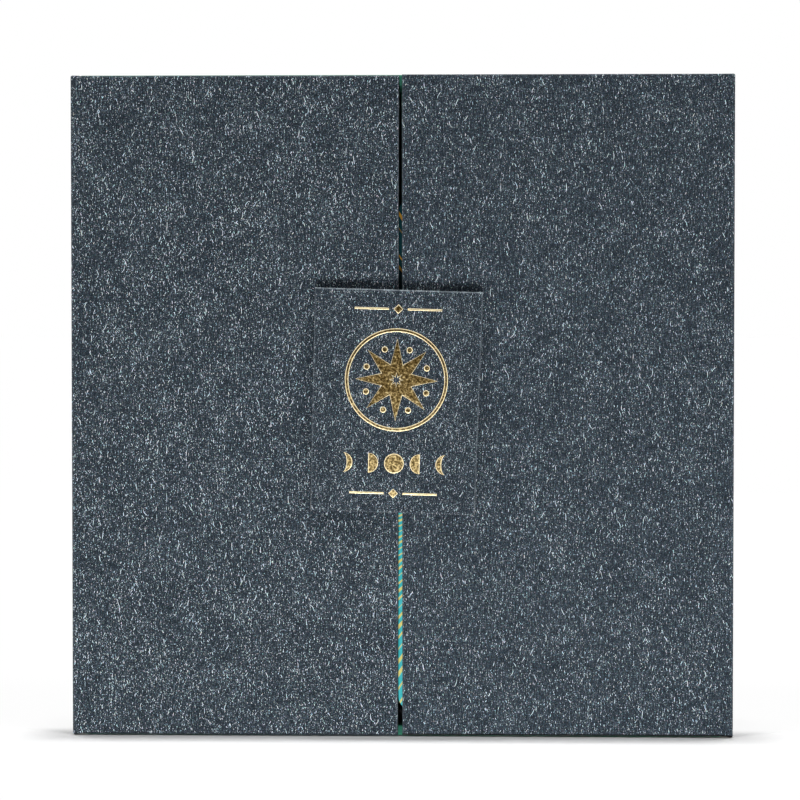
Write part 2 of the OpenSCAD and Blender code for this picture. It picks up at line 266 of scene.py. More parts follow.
def makeCoverPaper(name):
    paper = papers[name]
    made, tree, shader = newMaterial(name + "CoverPaper", Roughness=0.85, Specular_IOR_Level=0.12)
    if name == "carried":  # for CAD nodes, which have no sheet map
        flat = stretch(tree, objectPlace(tree), (1, 1, 1), turn=(-math.pi / 2, 0, 0))
    else:
        flat = sheetPlace(tree)
    sheet = stretch(tree, flat, (paper["scale"], paper["scale"], 1), (*paper["shift"], 0))
    fibres = 0.0
    for number, layer in enumerate(coverPaper["layers"], 1):
        fibres = calc(tree, "MAXIMUM", fibres, fibreLayer(tree, sheet, number, *layer))
    crowd = remap(tree, noise(tree, sheet, *coverPaper["crowd"], "2D"), *coverPaper["crowding"], "LINEAR")
    fibres = calc(tree, "MULTIPLY", fibres, crowd)
    grain = ripple(tree, sheet, *coverPaper["grain"])
    value = calc(tree, "MULTIPLY_ADD", grain, paper["grain"], paper["base"])
    for wave, gain in coverPaper["gain"].items():
        value = calc(tree, "MULTIPLY_ADD", ripple(tree, sheet, *coverPaper[wave]), gain, value)
    value = calc(tree, "MULTIPLY_ADD", fibres, paper["fibre"], value)
    hueInputs = {"Vector": stretch(tree, sheet, coverPaper["hue"]), "Scale": 1.0, "Detail": 1.0}
    hue = addNode(tree, "ShaderNodeTexNoise", hueInputs, noise_dimensions="2D").outputs["Color"]
    tint = vectorCalc(tree, "MULTIPLY_ADD", hue, coverPaper["hueGain"], 1 - coverPaper["hueGain"] / 2)
    colour = mixColour(tree, 1.0, ramp(tree, value, coverPaper["tone"]), tint, "MULTIPLY")
    fold = foldPlace(tree)
    patchy = remap(tree, noise(tree, sheet, *coverPaper["patches"], "2D"), *coverPaper["patchy"])
    # pale edge marks: real wear, and on the tab also a painted highlight, strongest along its top edge
    wornAndLit = calc(tree, "MULTIPLY", calc(tree, "MULTIPLY", fold, patchy), paper["wearAndHighlight"], clamp=True)
    colour = mixColour(tree, wornAndLit, colour, opaque(coverPaper["wornAndLit"]))
    # painted shade: where the fold mark is below 0, along the lower edges of doors and hinges, the paper
    # turns nearly black
    paintedFootShade = calc(tree, "MULTIPLY", fold, -1.0, clamp=True)
    colourFrom(tree, shader, mixColour(tree, paintedFootShade, colour, opaque(coverPaper["paintedFootShade"])))
    height = calc(tree, "MULTIPLY_ADD", fibres, coverPaper["fibreRise"], grain)
    bumpFrom(tree, shader, height, *coverPaper["bump"])
    return made


coverPapers = {name: makeCoverPaper(name) for name in papers}
print("cover paper mixed")

# lining paper: plain green stock with a fine felt
liningTone = {"felt": (2.4, 4, 0.6), "cloud": (0.06, 2, 0.5), "bump": (0.04, 0.5),
              "stock": [(0.25, (0.017, 0.13, 0.082)), (0.5, (0.026, 0.168, 0.11)),
                        (0.78, (0.042, 0.216, 0.145))],
              "shade": [(0.3, (0.85, 0.87, 0.88)), (0.7, (1, 1, 1))]}


def makeLining():
    made, tree, shader = newMaterial("liningPaper", Roughness=0.75, Specular_IOR_Level=0.25)
    place = objectPlace(tree)
    felt = noise(tree, place, *liningTone["felt"])
    shade = ramp(tree, noise(tree, place, *liningTone["cloud"]), liningTone["shade"])
    colourFrom(tree, shader, mixColour(tree, 1.0, ramp(tree, felt, liningTone["stock"]), shade, "MULTIPLY"))
    bumpFrom(tree, shader, felt, *liningTone["bump"])
    return made


# grey board: pressed waste paper with flecks
boardTone = {"pulp": (1.6, 5, 0.65), "bump": (0.08, 0.7),
             "stock": [(0.25, (0.2, 0.185, 0.165)), (0.55, (0.33, 0.31, 0.28)), (0.8, (0.42, 0.4, 0.37))],
             "fleck": (0.11, 0.1, 0.095), "fleckStretch": (1, 1, 0.6), "fleckScale": 0.7,
             "fleckEdge": (0.16, 0.05)}


def makeBoard():
    made, tree, shader = newMaterial("greyBoard", Roughness=0.9, Specular_IOR_Level=0.15)
    place = objectPlace(tree)
    pulp = noise(tree, place, *boardTone["pulp"])
    cells = {"Vector": stretch(tree, place, boardTone["fleckStretch"]), "Scale": boardTone["fleckScale"]}
    away = addNode(tree, "ShaderNodeTexVoronoi", cells).outputs["Distance"]
    fleck = remap(tree, away, *boardTone["fleckEdge"])
    colour = mixColour(tree, fleck, ramp(tree, pulp, boardTone["stock"]), opaque(boardTone["fleck"]))
    colourFrom(tree, shader, colour)
    bumpFrom(tree, shader, pulp, *boardTone["bump"])
    return made


# gold foil: a painted highlight on the stamped rims, painted dark inside them as a dim reflection and
# mottled, and painted lighter towards the tab's foot, where light comes from below
foilTone = {"inside": [(0.38, (0.028, 0.016, 0.004)), (0.55, (0.14, 0.095, 0.034)),
                       (0.73, (0.61, 0.48, 0.235))],
            "rim": (1.0, 0.87, 0.56), "highlightGrain": (0.3, 0.6, 0.55, 1.0), "lift": (57, 92, 0.12, -0.04),
            "mottle": (1.9, 3, 0.65), "grain": (4.5, 2, 0.5), "rough": (0.3, 0.7, 0.3, 0.55),
            "grainRise": 0.5, "bump": (0.1, 0.7)}


def makeFoil():
    made, tree, shader = newMaterial("goldFoil", Metallic=1.0)
    place = objectPlace(tree)
    mottle = noise(tree, place, *foilTone["mottle"])
    grain = noise(tree, place, *foilTone["grain"])
    # painted light: the tone rises low on the tab and falls high up
    tone = calc(tree, "ADD", mottle, remap(tree, splitXyz(tree, place)[2], *foilTone["lift"], "LINEAR"))
    # painted highlight on the stamped rims
    rim = calc(tree, "MULTIPLY", foldPlace(tree), remap(tree, grain, *foilTone["highlightGrain"]))
    # the inside tones are painted dark, as a dim reflection
    inside = ramp(tree, tone, foilTone["inside"])
    colourFrom(tree, shader, mixColour(tree, rim, inside, opaque(foilTone["rim"])))
    tree.links.new(remap(tree, grain, *foilTone["rough"]), shader.inputs["Roughness"])
    height = calc(tree, "MULTIPLY_ADD", grain, foilTone["grainRise"], mottle)
    bumpFrom(tree, shader, height, *foilTone["bump"])
    return made


# card stock: rays and a ring printed on the faces, bright on the border, deeper on the field and darker
# higher up as painted shade, and bare paper on the edges
cardPrint = {"middle": (34.1, 65.9), "half": (35.0, 60.0), "border": (2.3, 2.7),
             "rays": 214, "swell": 57, "swellBy": 0.45, "thin": (0.5, 0.32), "raySoft": 0.35,
             "rayStart": (14, 16), "ring": 12, "ringEdge": (1.0, 0.7),
             "grain": (1.2, 3, 0.6), "grainRange": (0.3, 0.7),
             "ground": (0.1, 0.74, 0.8), "deep": (0.05, 0.62, 0.68), "ray": (1.0, 0.88, 0.29),
             "field": (0.03, 0.26, 0.29), "fieldRay": (0.7, 0.47, 0.14),
             # the first three entries on the next line paint shade: from 70 to 96 mm up the ground and rays
             # darken nearly to black and the rays grow thinner
             "paintedShade": (70, 96), "paintedShadeGround": (0.001, 0.032, 0.04), "paintedShadeRay": (0.5, 0.26, 0.025),
             "ply": 0.36, "edge": [(0.0, (0.62, 0.58, 0.5)), (1.0, (0.84, 0.81, 0.74))], "faceTurn": 0.6,
             "tooth": (3.0, 3, 0.6), "bump": (0.02, 0.4)}


def makeCards():
    made, tree, shader = newMaterial("cardStock", Roughness=0.55, Specular_IOR_Level=0.1)
    place = objectPlace(tree)
    part = splitXyz(tree, place)
    across, up, angle, away = fromMiddle(tree, place, cardPrint["middle"])
    wave = calc(tree, "SINE", calc(tree, "MULTIPLY", angle, cardPrint["rays"]))
    swell = calc(tree, "SINE", calc(tree, "MULTIPLY", angle, cardPrint["swell"]))
    # painted shade: 0 below 70 mm up, 1 above 96 mm
    paintedShade = remap(tree, part[2], *cardPrint["paintedShade"])
    thin = calc(tree, "MULTIPLY_ADD", paintedShade, *cardPrint["thin"])
    thick = calc(tree, "ADD", thin, cardPrint["raySoft"])
    ray = remap(tree, calc(tree, "MULTIPLY_ADD", swell, cardPrint["swellBy"], wave), thin, thick)
    ray = calc(tree, "MULTIPLY", ray, remap(tree, away, *cardPrint["rayStart"]))
    field = remap(tree, insetOf(tree, across, up, cardPrint["half"]), *cardPrint["border"])
    grain = remap(tree, noise(tree, place, *cardPrint["grain"]), *cardPrint["grainRange"])
    ground = mixColour(tree, grain, opaque(cardPrint["deep"]), opaque(cardPrint["ground"]))
    ground = mixColour(tree, field, ground, opaque(cardPrint["field"]))
    ground = mixColour(tree, paintedShade, ground, opaque(cardPrint["paintedShadeGround"]))
    ink = mixColour(tree, field, opaque(cardPrint["ray"]), opaque(cardPrint["fieldRay"]))
    ink = mixColour(tree, paintedShade, ink, opaque(cardPrint["paintedShadeRay"]))
    printed = mixColour(tree, ray, ground, ink)
    ring = calc(tree, "ABSOLUTE", calc(tree, "SUBTRACT", away, cardPrint["ring"]))
    printed = mixColour(tree, remap(tree, ring, *cardPrint["ringEdge"]), printed, ink)
    count = calc(tree, "FLOOR", calc(tree, "DIVIDE", part[1], cardPrint["ply"]))
    tone = addNode(tree, "ShaderNodeTexWhiteNoise", {"W": count}, noise_dimensions="1D").outputs[0]
    turned = calc(tree, "ABSOLUTE", splitXyz(tree, coordinate(tree, "Normal"))[1])
    face = calc(tree, "GREATER_THAN", turned, cardPrint["faceTurn"])
    colourFrom(tree, shader, mixColour(tree, face, ramp(tree, tone, cardPrint["edge"]), printed))
    bumpFrom(tree, shader, noise(tree, place, *cardPrint["tooth"]), *cardPrint["bump"])
    return made


# page paper: cream leaves seen edge on
pageTone = {"leaves": (0.15, 9.0, 0.02), "grain": (1.0, 2, 0.6), "bump": (0.06, 0.8),
            "stock": [(0.3, (0.5, 0.46, 0.38)), (0.5, (0.74, 0.7, 0.6)), (0.7, (0.83, 0.79, 0.7))]}


def makePages():
    made, tree, shader = newMaterial("pagePaper", Roughness=0.85, Specular_IOR_Level=0.2)
    leaves = noise(tree, stretch(tree, objectPlace(tree), pageTone["leaves"]), *pageTone["grain"])
    colourFrom(tree, shader, ramp(tree, leaves, pageTone["stock"]))
    bumpFrom(tree, shader, leaves, *pageTone["bump"])
    return made


# guidebook cover: dark teal card with a gold border of two lines and a rosette in a ring
bookPrint = {"inset": 4.0, "gap": 1.3, "line": (0.35, 0.21), "ring": 15.0, "petals": 8, "rosette": (3.5, 8.5),
             "card": [(0.3, (0.006, 0.06, 0.066)), (0.7, (0.012, 0.09, 0.097))], "gold": (0.5, 0.36, 0.14),
             "grain": (2.0, 4, 0.6), "bump": (0.03, 0.5)}


def makeBookCover():
    made, tree, shader = newMaterial("bookCover", Roughness=0.55, Specular_IOR_Level=0.2)
    place = objectPlace(tree)
    low, high = boxOf("guidebook_cover")
    middle, half = (low + high)[::2] / 2, (high - low)[::2] / 2
    across, up, angle, away = fromMiddle(tree, place, middle)
    inside = insetOf(tree, across, up, half)
    petals = calc(tree, "COSINE", calc(tree, "MULTIPLY", angle, bookPrint["petals"]))
    rosette = calc(tree, "MULTIPLY_ADD", petals, *bookPrint["rosette"])
    lines = [(inside, bookPrint["inset"]), (inside, bookPrint["inset"] + bookPrint["gap"]),
             (away, bookPrint["ring"]), (away, rosette)]
    gold = 0.0
    for distance, level in lines:
        off = calc(tree, "ABSOLUTE", calc(tree, "SUBTRACT", distance, level))
        gold = calc(tree, "MAXIMUM", gold, remap(tree, off, *bookPrint["line"]))
    grain = noise(tree, place, *bookPrint["grain"])
    card = ramp(tree, grain, bookPrint["card"])
    colourFrom(tree, shader, mixColour(tree, gold, card, opaque(bookPrint["gold"])))
    bumpFrom(tree, shader, grain, *bookPrint["bump"])
    return made


# foam: fine closed cells
foamTone = {"cells": 2.2, "bump": (0.12, 0.8),
            "stock": [(0.0, (0.008, 0.008, 0.009)), (0.6, (0.026, 0.026, 0.028))]}


def makeFoam():
    made, tree, shader = newMaterial("blackFoam", Roughness=0.95, Specular_IOR_Level=0.15)
    inputs = {"Vector": objectPlace(tree), "Scale": foamTone["cells"]}
    cells = addNode(tree, "ShaderNodeTexVoronoi", inputs).outputs["Distance"]
    colourFrom(tree, shader, ramp(tree, cells, foamTone["stock"]))
    bumpFrom(tree, shader, cells, *foamTone["bump"])
    return made


# magnet plating and tape film: one brushed or mottled tone
plates = {"brush": (6, 6, 0.6), "grain": (1.0, 3, 0.6),
          "nickelPlate": {"metal": 1.0, "rough": 0.32,
                          "tone": [(0.3, (0.5, 0.5, 0.5)), (0.7, (0.66, 0.66, 0.65))]},
          "tapeFilm": {"metal": 0.0, "rough": 0.6,
                       "tone": [(0.3, (0.72, 0.69, 0.58)), (0.7, (0.8, 0.77, 0.66))]}}


def makePlate(name):
    made, tree, shader = newMaterial(name, Metallic=plates[name]["metal"], Roughness=plates[name]["rough"])
    brushed = noise(tree, stretch(tree, objectPlace(tree), plates["brush"]), *plates["grain"])
    colourFrom(tree, shader, ramp(tree, brushed, plates[name]["tone"]))
    return made


finishes = {"lining_paper": makeLining(), "grey_board": makeBoard(), "gold_foil": makeFoil(),
            "card_stock": makeCards(), "page_paper": makePages(), "book_cover": makeBookCover(),
            "foam": makeFoam(), "magnet": makePlate("nickelPlate"), "tape": makePlate("tapeFilm"),
            "cover_paper": coverPapers["carried"]}
for row in frame["record"]["subparts"]:
    slots = nodes[row["node"]].data.materials
    slots.clear()
    slots.append(finishes[row["material_slot"]])
print("finishes on the carried nodes")

# how near two points of a piece may lie before they are one, and how short an edge may be, in metres
cleanUp = {"near": 1e-6, "short": 1e-7}


# a grid of points in millimetres becomes a mesh piece, its sheet map and its fold mark with it
def makePiece(name, points, sheet, material, body, replaced=(), fold=None, flip=False, closed=False):
    rows, columns = points.shape[:2]
    index = np.arange(rows * columns).reshape(rows, columns)
    quads = np.stack([index[:-1, :-1], index[:-1, 1:], index[1:, 1:], index[1:, :-1]], -1).reshape(-1, 4)
    if flip:
        quads = quads[:, ::-1]
    mesh = bpy.data.meshes.new(name)
    mesh.from_pydata((points.reshape(-1, 3) * mm).tolist(), [], quads.tolist())
    corners = sheet.reshape(-1, 2)[quads.ravel()]
    mesh.uv_layers.new(name="sheet").data.foreach_set("uv", corners.astype(np.float32).ravel())
    marks = np.zeros((rows, columns)) if fold is None else fold
    mesh.attributes.new("fold", "FLOAT", "POINT").data.foreach_set("value", marks.astype(np.float32).ravel())
    work = bmesh.new()
    work.from_mesh(mesh)
    bmesh.ops.remove_doubles(work, verts=work.verts, dist=cleanUp["near"])
    bmesh.ops.dissolve_degenerate(work, edges=work.edges, dist=cleanUp["short"])
    if closed:
        bmesh.ops.recalc_face_normals(work, faces=work.faces)
    work.to_mesh(mesh)
    work.free()
    mesh.polygons.foreach_set("use_smooth", np.ones(len(mesh.polygons), bool))
    mesh.materials.append(material)
    piece = bpy.data.objects.new(name, mesh)
    scene.collection.objects.link(piece)
    if body:
        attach(piece, body)
    if replaced:
        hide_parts(*replaced)
    return piece


# sheets that turn over an edge: sample spacing in millimetres and counts, and how far the marks on the edges
# spread, in shares of the edge's radius and in steps of that share
# the last two entries set where the painted shade on the lower edges starts and how fast it comes in
edgeTurn = {"first": 0.2, "inset": 1, "flatSteps": 12, "near": (0.35, 0.1), "roundSteps": 6, "sideSteps": 4,
            "lipStep": 0.15, "foldStep": 0.5, "foldSpan": 5, "footShadeStep": 0.25, "footShadeStart": 0.5}


# distance along a sheet that lies flat and then turns over an edge: flat, quarter round, straight side,
# quarter round, lip. Each stretch is the distance clipped to its own span, and the place and the depth are
# the sums of what they add.
def turnOver(run, flat, radius, thick):
    quarter = radius * math.pi / 2
    first = np.clip((run - flat) / radius, 0, math.pi / 2)
    side = np.clip(run - flat - quarter, 0, thick - 2 * radius)
    second = np.clip((run - flat - quarter - thick + 2 * radius) / radius, 0, math.pi / 2)
    lip = np.maximum(run - flat - 2 * quarter - thick + 2 * radius, 0)
    place = np.minimum(run, flat) + radius * np.sin(first) - radius * (1 - np.cos(second)) - lip
    depth = radius * (1 - np.cos(first)) + side + radius * np.sin(second)
    return place, depth


# where to sample such a sheet: close together round the edges, wide apart on the flats
def turnSamples(start, flat, radius, thick, lip):
    quarter = radius * math.pi / 2
    side = flat + quarter + thick - 2 * radius
    bend = np.linspace(0, quarter, edgeTurn["roundSteps"])
    wide = np.linspace(start + edgeTurn["inset"], flat - edgeTurn["inset"], edgeTurn["flatSteps"])
    upright = np.linspace(flat + quarter, side, edgeTurn["sideSteps"])[1:]
    lips = [side + quarter + edgeTurn["lipStep"], side + quarter + lip] if lip else []
    return np.concatenate([[start, start + edgeTurn["first"]], wide, flat - np.array(edgeTurn["near"]),
                           flat + bend, upright, side + bend[1:], lips])


def mirrored(run):
    return np.concatenate([-run[::-1], run])


def pathRun(line):  # distance along a line of points
    return np.concatenate([[0], np.cumsum(np.linalg.norm(np.diff(line, axis=0), axis=1))])


def sheetMap(across, along):
    return np.stack(np.broadcast_arrays(across[:, None], along[None, :]), -1)


# a path's points, the nearer to its inner line the deeper the turned end goes
def drawnIn(outer, inner, depth, deep):
    share = np.clip(depth / deep, 0, 1)[None, :, None]
    return outer[:, None, :] * (1 - share) + inner[:, None, :] * share


def foldMark(run, flat, radius):  # 1 on the outer round of an edge, fading out on both sides of it
    past = (np.abs(run) - flat) / (edgeTurn["foldStep"] * radius)
    return np.clip(past, 0, 1) * np.clip(edgeTurn["foldSpan"] - past, 0, 1)


# the upper end is a fold, and the lower one carries painted shade, which counts as less than 0
def endMark(run, flat, radius, thick, footShade):
    step = edgeTurn["footShadeStep"] * radius
    past = (-run - flat) / step
    under = np.clip(past + edgeTurn["footShadeStart"], 0, 1) * np.clip((thick + 2 * radius) / step - past, 0, 1)
    return np.where(run < 0, -footShade * under, foldMark(run, flat, radius))


# doors: the cover paper over the face, turned over the free edge and both ends
doorSheet = {"round": 0.4, "lip": 3.7, "start": 3.0,
             "taper": {"left": 0.3, "right": 0.1}, "rise": {"left": -0.1, "right": 0.14},
             # the last entry is the strength of the painted shade along each door's lower edge
             "foot": {"left": (0.15, 0.03), "right": (0.15, 0.15)}, "footShade": {"left": 0.6, "right": 1.0}}


# how much higher or lower the hand-set sheet lies: its head by one amount, its foot by two that run from
# the hinge to the free edge
def doorLean(side, share, z):
    up = np.clip(z / boxTop, 0, 1)
    hinge, free = doorSheet["foot"][side]
    return up * doorSheet["rise"][side] + (1 - up) * (hinge + (free - hinge) * share)


def makeDoor(side):
    sign, radius, lip = signs[side], doorSheet["round"], doorSheet["lip"]
    low, high = doorBoxes[side]
    width = (high[0] + halfBox) if side == "left" else (halfBox - low[0])
    half = (high[2] - low[2]) / 2
    across = turnSamples(doorSheet["start"], width - radius, radius, doorThick, lip)
    along = mirrored(turnSamples(0, half - radius, radius, doorThick, lip)[1:])
    placeX, depthX = turnOver(across, width - radius, radius, doorThick)
    placeZ, depthZ = turnOver(np.abs(along), half - radius, radius, doorThick)
    share = placeX[:, None] / width
    z = (low[2] + high[2]) / 2 + (np.sign(along) * placeZ)[None, :] + 0 * share
    taper = doorSheet["taper"][side] * share * np.clip(z / boxTop, 0, 1)
    x = sign * ((halfBox - placeX)[:, None] - taper)
    z = z + doorLean(side, share, z)
    y = doorY + np.maximum(depthX[:, None], depthZ[None, :])
    ends = endMark(along, half - radius, radius, doorThick, doorSheet["footShade"][side])
    fold = foldMark(across, width - radius, radius)[:, None] * (ends >= 0)[None, :] + ends[None, :]
    makePiece(side + "DoorPaper", np.stack([x, y, z], -1), sheetMap(-sign * across, along), coverPapers[side],
              side + "_door", (side + "_door_wrap",), fold, flip=side == "left")


for side in signs:
    makeDoor(side)
print("doors papered")

# case: the cover paper along the left spine, the back and the right spine, turned over at top and foot
caseSheet = {"round": 0.4, "corner": 0.6, "start": 3.0, "near": 0.1, "inset": 1,
             "spineSteps": 8, "backSteps": 14, "roundSteps": 7}


# path round the case with quarter rounds at its back corners, and the inner line that its turned ends reach
def makeCase():
    radius, corner, start = caseSheet["round"], caseSheet["corner"], caseSheet["start"]
    near, inset = caseSheet["near"], caseSheet["inset"]
    quarter = np.linspace(0, math.pi / 2, caseSheet["roundSteps"])
    spineEnd, backLength = backY - corner, 2 * (halfBox - corner)
    spine = np.linspace(doorY + start + inset, spineEnd - inset, caseSheet["spineSteps"])
    spine = np.concatenate([[doorY + start], spine, [spineEnd - near]])
    wide = np.linspace(inset, backLength - inset, caseSheet["backSteps"])
    wide = np.concatenate([[near], wide, [backLength - near]])
    left = np.stack([np.full(len(spine), -halfBox), spine], -1)
    leftRound = np.stack([-halfBox + corner * (1 - np.cos(quarter)), spineEnd + corner * np.sin(quarter)], -1)
    back = np.stack([-halfBox + corner + wide, np.full(len(wide), backY)], -1)
    outer = np.concatenate([left, leftRound, back, leftRound[::-1] * (-1, 1), left[::-1] * (-1, 1)])
    inner = np.stack([np.clip(outer[:, 0], -halfBox + spineThick, halfBox - spineThick),
                      np.minimum(outer[:, 1], backY - spineThick)], -1)
    run = pathRun(outer)
    half = boxTop / 2
    along = turnSamples(0, half - radius, radius, spineThick + radius, 0)[1:]
    along = mirrored(along[along <= half - radius + radius * math.pi / 2 + spineThick - radius])
    placeZ, depth = turnOver(np.abs(along), half - radius, radius, spineThick + radius)
    plan = drawnIn(outer, inner, depth, spineThick)
    z = half + (np.sign(along) * placeZ)[None, :] + 0 * run[:, None]
    fold = foldMark(along, half - radius, radius)[None, :] + 0 * run[:, None]
    makePiece("casePaper", np.concatenate([plan, z[..., None]], -1), sheetMap(-run - start, along),
              coverPapers["case"], "box", ("case_wrap",), fold)


makeCase()

# hinge paper: the cover paper from the spine round the front edge on to the door
hingeSheet = {"round": 0.45, "edge": 0.4, "reach": 3.0, "bend": 1.6, "deep": 1.4, "thick": 1.0, "turn": 0.5,
              "crease": 0.6, "creaseWidth": 0.5, "flatSteps": 8, "roundSteps": 9}


def makeHinge(side):
    sign, bendAt = signs[side], hingeSheet["bend"]
    bendRadius, radius, reach = hingeSheet["round"], hingeSheet["edge"], hingeSheet["reach"]
    quarter = np.linspace(0, math.pi / 2, hingeSheet["roundSteps"])
    flat = np.linspace(0, reach - bendRadius, hingeSheet["flatSteps"])
    spine = np.stack([0 * flat, reach - flat], -1)
    bend = bendRadius * np.stack([1 - np.cos(quarter), 1 - np.sin(quarter)], -1)[1:-1]
    door = np.stack([bendRadius + flat, 0 * flat], -1)
    line = np.concatenate([spine, bend, door])  # distances in from the side and in from the front
    run = pathRun(line)
    toDoor = run / run[-1]
    low, high = doorBoxes[side]
    foot = toDoor * (low[2] + doorLean(side, reach / halfBox, 0))
    head = boxTop + toDoor * (high[2] + doorLean(side, reach / halfBox, boxTop) - boxTop)
    half = boxTop / 2
    thick = hingeSheet["thick"] + radius
    along = turnSamples(0, half - radius, radius, thick, 0)[1:]
    along = mirrored(along[along <= half - radius + radius * math.pi / 2 + hingeSheet["turn"]])
    placeZ, depth = turnOver(np.abs(along), half - radius, radius, thick)
    plan = drawnIn(line, np.maximum(line, hingeSheet["deep"]), depth, hingeSheet["deep"])
    z = (foot + head)[:, None] / 2 + (np.sign(along) * placeZ / half)[None, :] * (head - foot)[:, None] / 2
    points = np.stack([sign * (halfBox - plan[..., 0]), doorY + plan[..., 1], z], -1)
    fromBend = run - run[-1] / 2
    crease = hingeSheet["crease"] * np.exp(-(fromBend / hingeSheet["creaseWidth"]) ** 2)
    ends = endMark(along, half - radius, radius, reach, doorSheet["footShade"][side])
    fold = ends[None, :] + crease[:, None] * (ends >= 0)[None, :]
    piece = makePiece(side + "HingePaper", points, sheetMap(-sign * fromBend, along), coverPapers[side],
                      None, (side + "_hinge_fold",), fold, flip=side == "left")
    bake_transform(piece)


for side in signs:
    makeHinge(side)
print("case and hinges papered")

# tray: the lining paper up the outside of the walls, over the rim and down to the floor
trayRim = {"round": 0.45, "wall": 2.4, "near": 0.1, "fall": 2, "roundSteps": 6, "sideSteps": 10,
           "mapPitch": 15.0}


# rectangle loops, each drawn in by the profile's inset and set at its depth
def makeTray():
    radius, wall, near = trayRim["round"], trayRim["wall"], trayRim["near"]
    quarter = np.linspace(0, math.pi / 2, trayRim["roundSteps"])
    rise, spread = radius * (1 - np.sin(quarter)), radius * (1 - np.cos(quarter))
    rim = [radius + near, wall - radius - near]
    inset = np.concatenate([[0, 0, 0], spread, rim, wall - rise, [wall, wall, wall]])
    side = [rimY + trayRim["fall"], rimY + radius + near]
    depth = np.concatenate([[trayBackY], side, rimY + rise, [rimY, rimY],
                            rimY + spread, side[::-1], [floorY]])
    edge = np.linspace(-1, 1, trayRim["sideSteps"], endpoint=False)
    one = np.ones(len(edge))
    loopX = np.concatenate([edge, one, -edge, -one, [-1]])
    loopZ = np.concatenate([-one, edge, one, -edge, [-1]])
    x = loopX[None, :] * (trayHigh[0] - inset[:, None])
    z = boxTop / 2 + loopZ[None, :] * (boxTop / 2 - inset[:, None])
    y = depth[:, None] + 0 * x
    run = pathRun(np.stack([inset, depth], -1))
    places = np.arange(len(loopX)) * trayRim["mapPitch"]
    sheet = np.stack(np.broadcast_arrays(places[None, :], run[:, None]), -1)
    makePiece("trayPaper", np.stack([x, y, z], -1), sheet, finishes["lining_paper"], "box",
              ("tray_wrap",))


makeTray()
print("tray papered")

# tab: the cover paper over its face, turned over all four edges
# the pale edge marks on the tab are wear and a painted highlight, strongest on its upper edge
tabSheet = {"round": 0.35, "width": 38.8, "height": 52.0, "thick": 2.4, "skew": 1.7, "taper": 0.011,
            "wornAndLitSides": (0.25, 0.4), "wornAndLitEnds": (0.12, 1.0)}  # left and right, lower and upper


def tabPlace(x, depth, z):  # tab coordinates, depth counted back from its face, into the box's frame
    turn = math.radians(tabSheet["skew"])
    return np.stack([tabMiddle[0] + x * math.cos(turn) + z * math.sin(turn), tabLow[1] + depth + 0 * x,
                     tabMiddle[2] - x * math.sin(turn) + z * math.cos(turn)], -1)


def makeTab():
    radius, thick = tabSheet["round"], tabSheet["thick"]
    halfW, halfH = tabSheet["width"] / 2, tabSheet["height"] / 2
    across = mirrored(turnSamples(0, halfW - radius, radius, thick, 0)[1:])
    along = mirrored(turnSamples(0, halfH - radius, radius, thick, 0)[1:])
    placeX, depthX = turnOver(np.abs(across), halfW - radius, radius, thick)
    placeZ, depthZ = turnOver(np.abs(along), halfH - radius, radius, thick)
    z = (np.sign(along) * placeZ)[None, :] + 0 * across[:, None]
    x = (np.sign(across) * placeX)[:, None] * (1 + tabSheet["taper"] * z / halfH)
    points = tabPlace(x, np.maximum(depthX[:, None], depthZ[None, :]), z)
    sides = foldMark(across, halfW - radius, radius) * np.where(across < 0, *tabSheet["wornAndLitSides"])
    ends = foldMark(along, halfH - radius, radius) * np.where(along < 0, *tabSheet["wornAndLitEnds"])
    fold = np.where(ends[None, :] > 0, ends[None, :], sides[:, None])
    makePiece("tabPaper", points, sheetMap(across, along), coverPapers["tab"], "left_door",
              ("tab_wrap",), fold, flip=True)


makeTab()

# foil ornament: star in a ring, dots, moon phases and ruled diamonds, each stamped with soft shoulders
foilStamp = {"proud": 0.04, "lift": 0.004, "shoulder": 0.13, "highlightSpan": 1.6, "steps": 25, "medalRise": 5.0,
             "ring": (11.2, 12.0), "ringSteps": 96, "star": (9.6, 3.8), "points": 8, "starHole": 0.16,
             "starSteps": 6, "dotSet": 7.6, "dot": 0.7, "dotSteps": 24,
             "moon": 2.3, "moonSteps": 48, "hollow": 0.42, "moonPitch": 6.0, "moonDrop": 14.5,
             "rule": (8.0, 0.45), "ruleSteps": 17, "diamond": 1.1, "ruleSet": 21.5}


# a patch between an inner and an outer outline: points run straight from one to the other,
# and its height rises over the first and last part of that run
def foilPatch(inner, outer, openInside=True):
    share = (0.5 - 0.5 * np.cos(np.linspace(0, math.pi, foilStamp["steps"])))[:, None, None]
    plan = inner[None] * (1 - share) + outer[None] * share
    away = np.minimum(share, 1 - share) if openInside else 1 - share
    reach = np.linalg.norm(outer - inner, axis=-1)[None] * away[..., 0] / foilStamp["shoulder"]
    height = np.sqrt(np.clip(reach, 0, 1)) * foilStamp["proud"]
    # rim mark, where the foil's painted highlight goes: the shoulders near the patch's outlines
    rim = np.clip(foilStamp["highlightSpan"] - reach, 0, 1)
    return np.concatenate([plan, height[..., None], rim[..., None]], -1)


def onCircle(turn):  # points of a unit circle, clockwise from the top
    return np.stack([np.sin(turn), np.cos(turn)], -1)


def circle(radius, count):
    return radius * onCircle(np.linspace(0, 2 * math.pi, count + 1))


